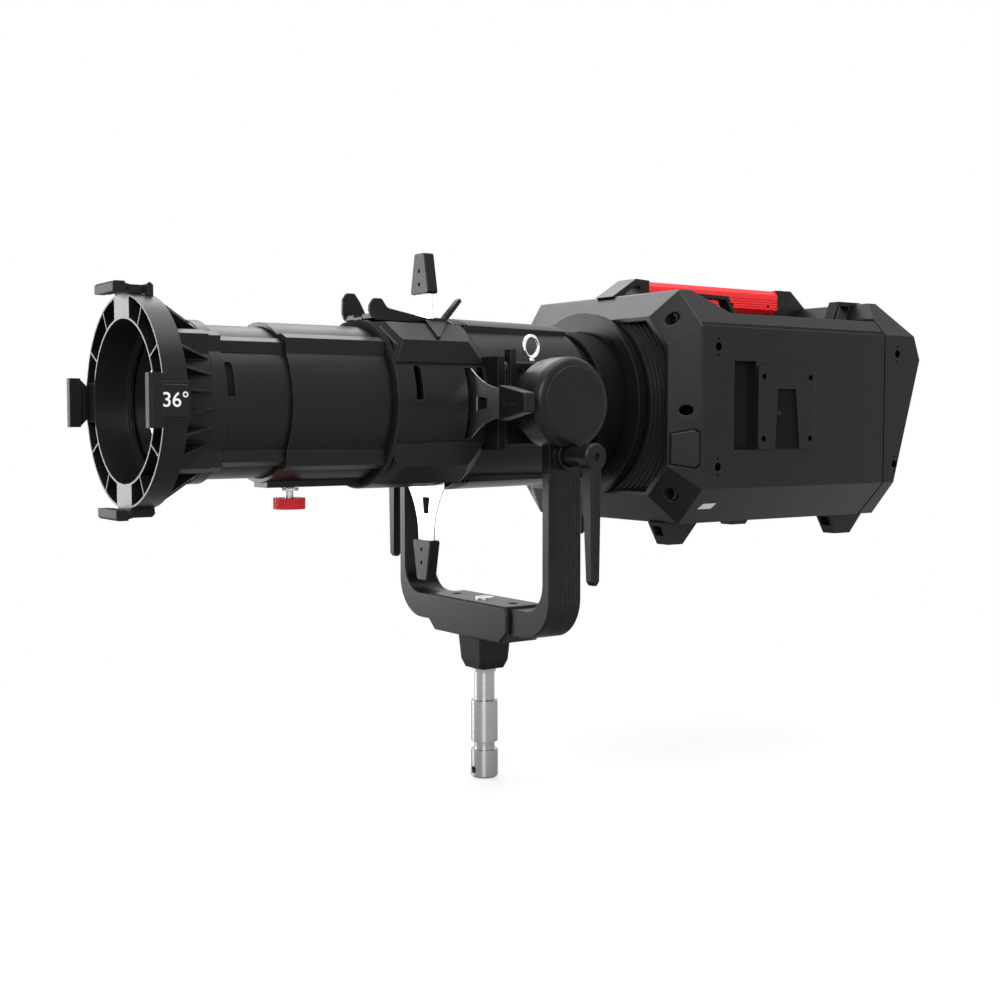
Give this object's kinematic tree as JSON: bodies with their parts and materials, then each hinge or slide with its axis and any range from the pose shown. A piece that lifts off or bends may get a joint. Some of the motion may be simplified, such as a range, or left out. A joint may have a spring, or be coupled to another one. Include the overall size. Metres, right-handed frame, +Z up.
{
  "type": "ellipsoidal spotlight",
  "caption": "Profile spotlight: a focusing lens barrel with framing shutters on a boxy LED lamp head, tilting in a yoke that stands on a spigot.",
  "frame": {"origin": "middle of the spigot's full-diameter stretch, on its axis", "axes": "+Z up along the spigot, the beam leaves along -Y, +X is the side with the release button"},
  "size_m": [0.372, 0.9216, 0.5475],
  "materials": {
    "black_metal": "satin",
    "black_plastic": "satin",
    "red_plastic": "satin",
    "steel": "brushed",
    "chrome": "polished",
    "aluminium": "satin",
    "brass": "satin",
    "glass": "clear",
    "rubber": "matt"
  },
  "bodies": {
    "yoke": {"spigot": "steel", "spigot_socket": "black_metal", "yoke_block": "black_metal", "yoke_bar": "black_metal", "yoke_screws": "steel", "tilt_housing_near": "black_metal", "tilt_housing_far": "black_metal", "tilt_caps": "black_plastic", "tilt_bushes": "brass", "brake_shoes": "rubber"},
    "lever_near": {"tilt_lever_near": "black_plastic"},
    "lever_far": {"tilt_lever_far": "black_plastic"},
    "barrel": {"trunnions": "black_metal", "gate_upper": "black_metal", "gate_lower": "black_metal", "gate_plates": "steel", "rear_barrel_upper": "black_metal", "rear_barrel_lower": "black_metal", "vent_covers": "black_metal", "sleeve_upper": "black_metal", "sleeve_lower": "black_metal", "condenser_cell": "aluminium", "condenser_lenses": "glass", "mount_flange": "black_metal", "lamp_ring": "black_metal", "lamp_cone": "black_plastic", "lamp_cowl": "black_plastic", "cowl_bolts": "steel", "lamp_housing": "black_metal", "side_plates": "black_plastic", "rear_bezel": "black_plastic", "rear_grille": "black_plastic", "fan_frame": "black_plastic", "carry_handle": "red_plastic", "handle_brackets": "black_plastic", "bumpers": "rubber", "led_module": "aluminium", "reflector": "aluminium", "heat_sink": "aluminium", "power_inlet": "black_plastic"},
    "cover": {"slot_cover": "black_plastic"},
    "eye": {"safety_eye": "chrome"},
    "button": {"release_button": "black_plastic"},
    "fan": {"fan_rotor": "black_plastic"},
    "lens_tube": {"lens_tube_upper": "black_metal", "lens_tube_lower": "black_metal", "front_ring": "black_plastic", "frame_hooks": "black_plastic", "objective_lenses": "glass", "lens_retainers": "black_plastic"},
    "latch": {"frame_latch": "black_plastic"},
    "knob": {"focus_knob": "red_plastic"},
    "shutter_top": {"shutter_blade_top": "steel", "shutter_handle_top": "black_plastic"},
    "shutter_bottom": {"shutter_blade_bottom": "steel", "shutter_handle_bottom": "black_plastic"},
    "shutter_near": {"shutter_blade_near": "steel", "shutter_handle_near": "black_plastic"},
    "shutter_far": {"shutter_blade_far": "steel", "shutter_handle_far": "black_plastic"}
  },
  "joints": [
    {"name": "tilt", "type": "hinge", "parent": "yoke", "child": "barrel", "pos_m": [0, 0, 0.335], "axis": [1, 0, 0], "range_deg": [-40, 50]},
    {"name": "tilt_lock_near", "type": "hinge", "parent": "yoke", "child": "lever_near", "pos_m": [0.179, 0, 0.284], "axis": [1, 0, 0], "range_deg": [-90, 90]},
    {"name": "tilt_lock_far", "type": "hinge", "parent": "yoke", "child": "lever_far", "pos_m": [-0.179, 0, 0.284], "axis": [1, 0, 0], "range_deg": [-90, 90]},
    {"name": "focus", "type": "slide", "parent": "barrel", "child": "lens_tube", "axis": [0, 1, 0], "range_m": [0, 0.055]},
    {"name": "focus_lock", "type": "hinge", "parent": "lens_tube", "child": "knob", "pos_m": [0, -0.2285, 0.237], "axis": [0, 0, 1], "range_deg": [-180, 180]},
    {"name": "frame_latch_hinge", "type": "hinge", "parent": "lens_tube", "child": "latch", "pos_m": [0, -0.3727, 0.4356], "axis": [-1, 0, 0], "range_deg": [0, 95]},
    {"name": "slot_cover_hinge", "type": "hinge", "parent": "barrel", "child": "cover", "pos_m": [0, -0.149, 0.4195], "axis": [1, 0, 0], "range_deg": [0, 70]},
    {"name": "safety_eye_swivel", "type": "hinge", "parent": "barrel", "child": "eye", "pos_m": [0.088, -0.0045, 0.3915], "axis": [0, 0, 1], "range_deg": [-180, 180]},
    {"name": "release_press", "type": "slide", "parent": "barrel", "child": "button", "axis": [-0.7208, 0.6931, 0], "range_m": [0, 0.0027], "stiffness_N_per_m": 900},
    {"name": "fan_spin", "type": "hinge", "parent": "barrel", "child": "fan", "pos_m": [0, 0.4725, 0.305], "axis": [0, 1, 0], "continuous": true},
    {"name": "shutter_top_slide", "type": "slide", "parent": "barrel", "child": "shutter_top", "axis": [0, 0, 1], "range_m": [-0.0234, 0.0306]},
    {"name": "shutter_bottom_slide", "type": "slide", "parent": "barrel", "child": "shutter_bottom", "axis": [0, 0, -1], "range_m": [-0.051, 0.003]},
    {"name": "shutter_near_slide", "type": "slide", "parent": "barrel", "child": "shutter_near", "axis": [1, 0, 0], "range_m": [-0.0458, 0.0082]},
    {"name": "shutter_far_slide", "type": "slide", "parent": "barrel", "child": "shutter_far", "axis": [-1, 0, 0], "range_m": [-0.04, 0.014]}
  ]
}
